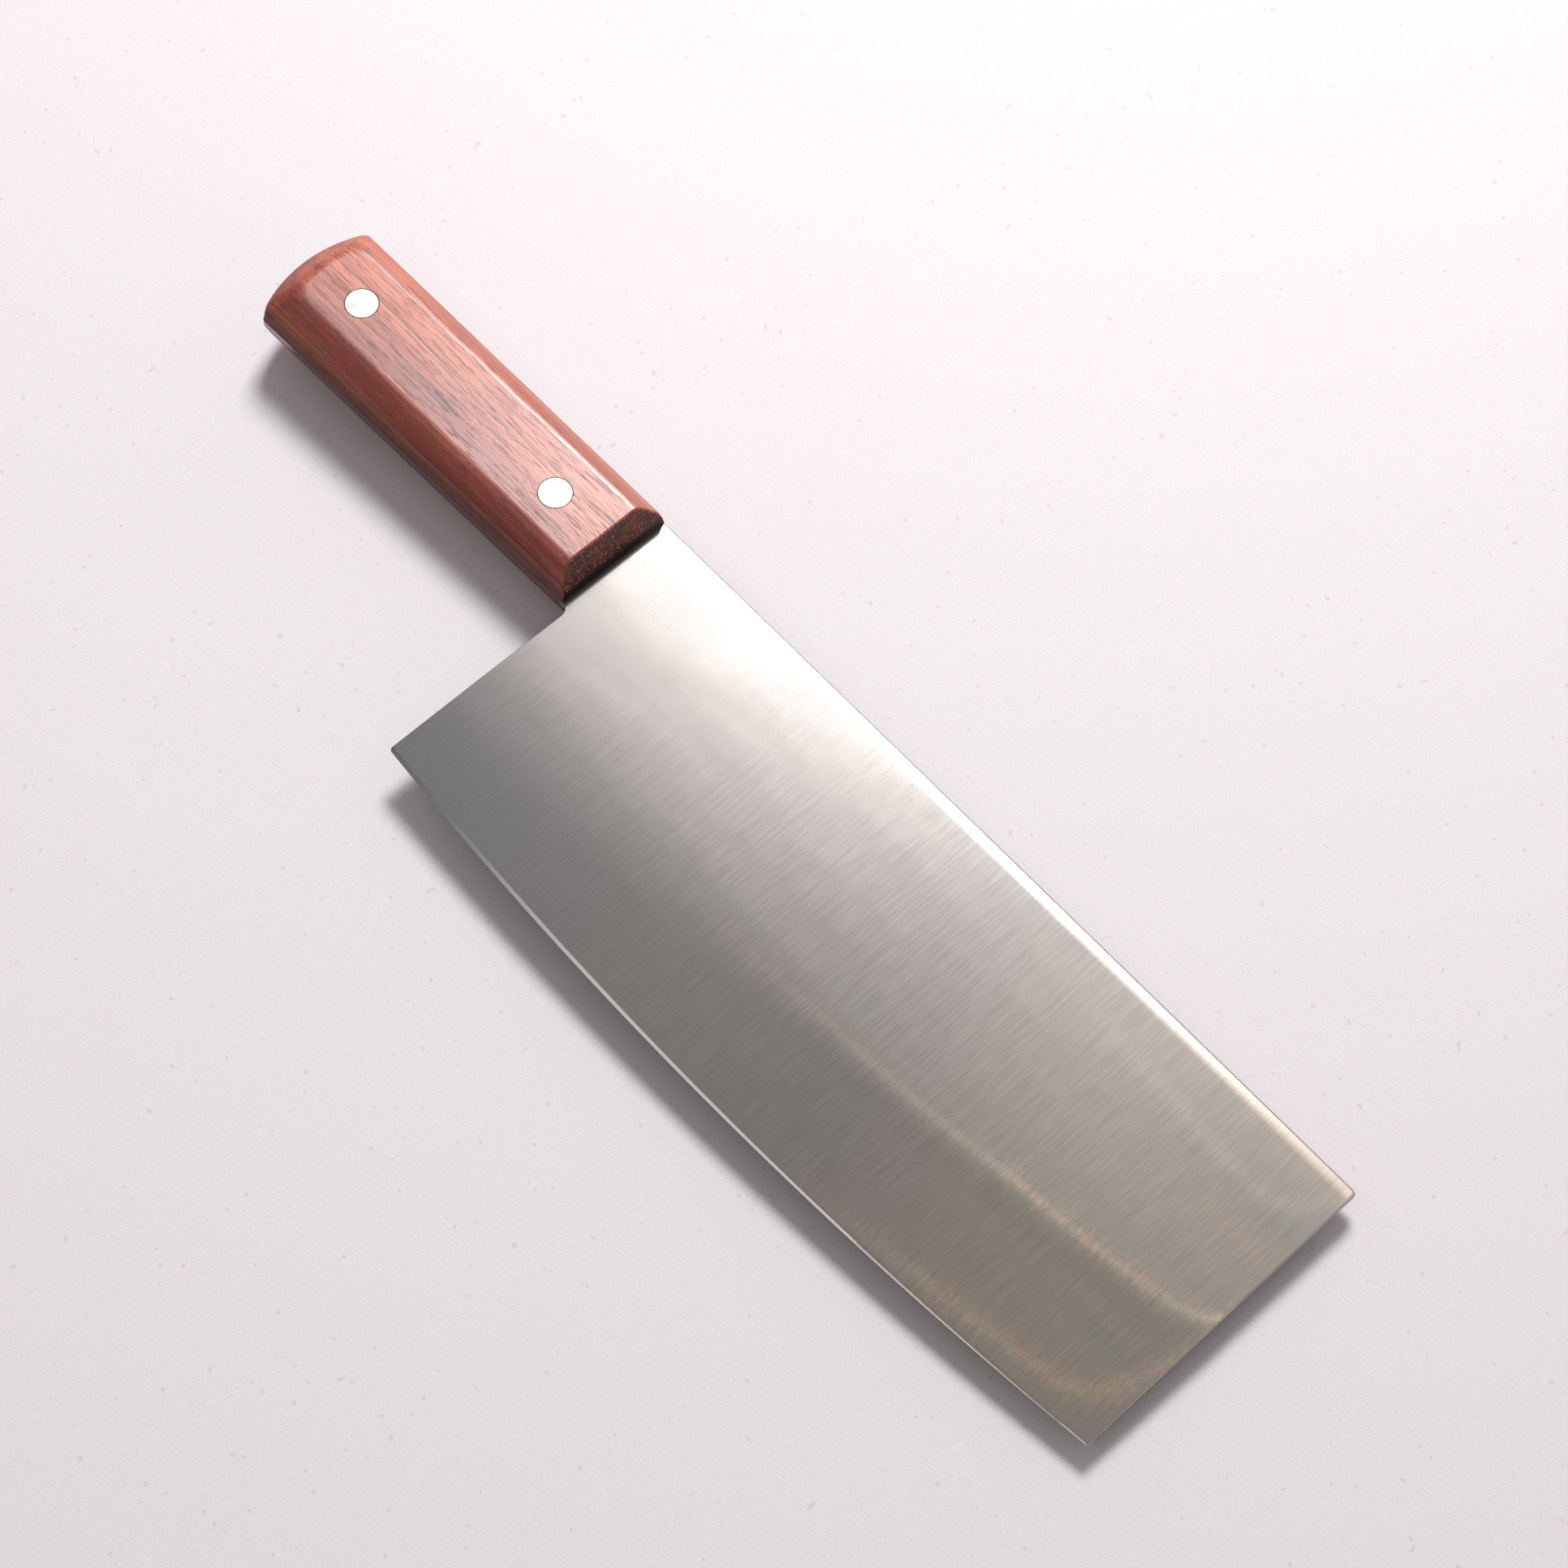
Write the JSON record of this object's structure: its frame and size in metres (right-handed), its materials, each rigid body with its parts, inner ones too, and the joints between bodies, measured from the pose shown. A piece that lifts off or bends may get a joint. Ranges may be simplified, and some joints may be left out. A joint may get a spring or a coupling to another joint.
{
  "type": "chinese cleaver",
  "caption": "Broad rectangular kitchen cleaver with a full tang: ground steel blade, wooden handle scales riveted to the tang, gently curved cutting edge.",
  "frame": {"origin": "where the straight spine of the blade leaves the handle, on the centre plane of the steel, which is the rear end of the spine_rest mount", "axes": "+X along the spine towards the toe of the blade, +Y from the cutting edge towards the spine, +Z out of the face that looks up in the picture; the knife lies flat"},
  "size_m": [0.3335, 0.0902, 0.0204],
  "materials": {
    "steel": "fine satin brushed across the blade, finer polish on the spine and the edge bevel",
    "wood": "red-brown hardwood, sanded and oiled to a soft sheen, grain along the handle",
    "rivet": "stainless, ground flush with the wood"
  },
  "bodies": {
    "root": {"blade": "steel", "upper_scale": "wood", "lower_scale": "wood", "front_rivet_male": "rivet", "front_rivet_female": "rivet", "rear_rivet_male": "rivet", "rear_rivet_female": "rivet"}
  },
  "joints": []
}
